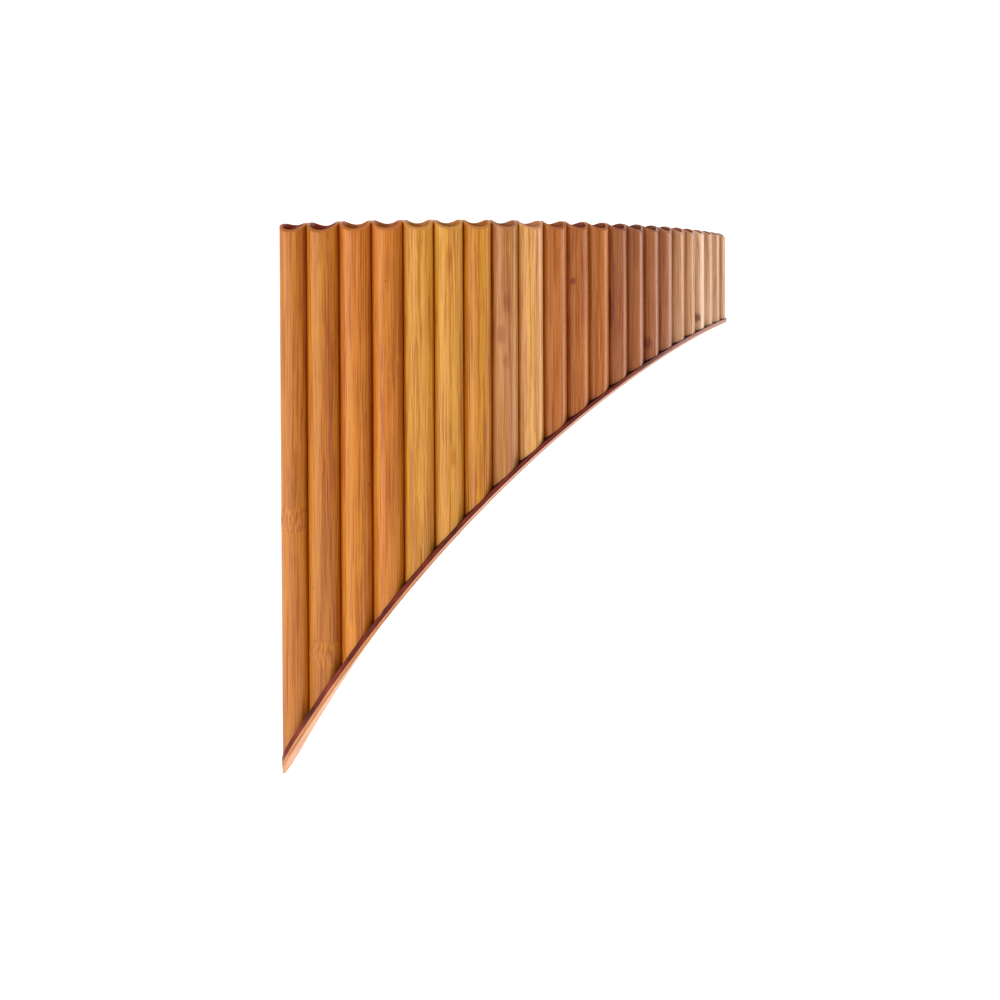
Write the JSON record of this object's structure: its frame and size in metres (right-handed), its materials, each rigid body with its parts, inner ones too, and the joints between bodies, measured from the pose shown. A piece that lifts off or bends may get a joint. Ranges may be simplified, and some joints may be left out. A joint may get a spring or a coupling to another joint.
{
  "type": "pan flute",
  "caption": "Curved pan flute: graded bamboo tubes glued side by side on an arc, filed to one rounded crest, stopped with corks, feet cut on the slant on a two-layer bent base strip.",
  "frame": {"origin": "middle of the bounding box in plan, at the height of the lowest point, which is the tip of the base strip under the longest tube", "axes": "+Z along the tubes towards the mouths, -Y towards the audience on the convex side, +X towards the shortest tube"},
  "size_m": [0.2508, 0.0556, 0.2742],
  "materials": {
    "bamboo_honey": "oiled cane, honey yellow, satin",
    "bamboo_amber": "oiled cane, amber brown, satin",
    "bamboo_tan": "oiled cane, reddish tan, satin",
    "bamboo_pale": "oiled cane, pale, satin",
    "cork": "turned natural cork, matt",
    "mahogany": "reddish brown hardwood, satin varnish",
    "maple": "pale hardwood, satin varnish"
  },
  "bodies": {
    "root": {"tube_01": "bamboo_honey", "tube_02": "bamboo_honey", "tube_03": "bamboo_amber", "tube_04": "bamboo_amber", "tube_05": "bamboo_honey", "tube_06": "bamboo_honey", "tube_07": "bamboo_honey", "tube_08": "bamboo_tan", "tube_09": "bamboo_honey", "tube_10": "bamboo_amber", "tube_11": "bamboo_amber", "tube_12": "bamboo_amber", "tube_13": "bamboo_tan", "tube_14": "bamboo_tan", "tube_15": "bamboo_tan", "tube_16": "bamboo_tan", "tube_17": "bamboo_pale", "tube_18": "bamboo_pale", "tube_19": "bamboo_pale", "tube_20": "bamboo_pale", "tube_21": "bamboo_pale", "tube_22": "bamboo_pale", "cork_01": "cork", "cork_02": "cork", "cork_03": "cork", "cork_04": "cork", "cork_05": "cork", "cork_06": "cork", "cork_07": "cork", "cork_08": "cork", "cork_09": "cork", "cork_10": "cork", "cork_11": "cork", "cork_12": "cork", "cork_13": "cork", "cork_14": "cork", "cork_15": "cork", "cork_16": "cork", "cork_17": "cork", "cork_18": "cork", "cork_19": "cork", "cork_20": "cork", "cork_21": "cork", "cork_22": "cork", "base_dark_strip": "mahogany", "base_light_strip": "maple"}
  },
  "joints": []
}
